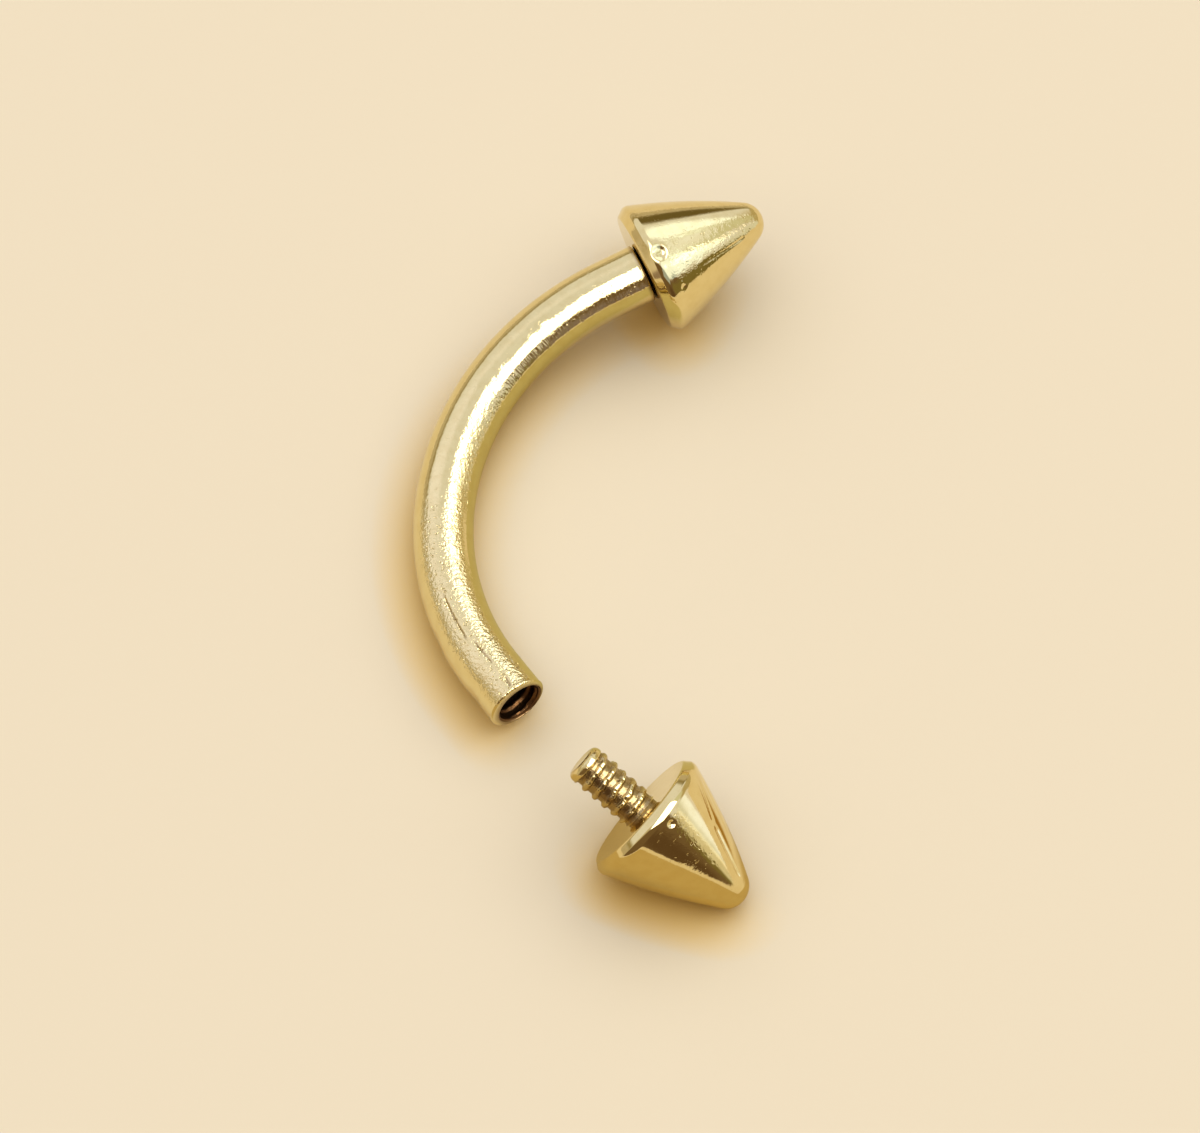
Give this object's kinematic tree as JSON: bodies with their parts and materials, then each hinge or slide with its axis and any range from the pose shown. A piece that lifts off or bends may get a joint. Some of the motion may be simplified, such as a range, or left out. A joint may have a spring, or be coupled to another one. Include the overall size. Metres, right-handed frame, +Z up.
{
  "type": "curved eyebrow barbell",
  "caption": "Curved round body-jewellery bar with threaded bores in its ends, a blunt cone spike screwed into the far end and a matching spike lying loose by the open end.",
  "frame": {"origin": "centre of the bounding box at the surface that the pieces lie on", "axes": "+Z up from the surface, +Y from the bar's open end to its seated spike, +X from the belly of the bend to its hollow side"},
  "size_m": [0.0084, 0.0146, 0.0027],
  "materials": {
    "bar_gold": "polished, worn and pitted",
    "spike_gold": "polished"
  },
  "bodies": {
    "bar": {"curved_bar": "bar_gold", "loose_spike": "spike_gold"},
    "seated_spike": {"seated_spike": "spike_gold"}
  },
  "joints": [
    {"name": "spike_unscrews", "type": "slide", "parent": "bar", "child": "seated_spike", "axis": [0.7619, 0.6283, 0.157], "range_m": [0, 0.0016]}
  ]
}
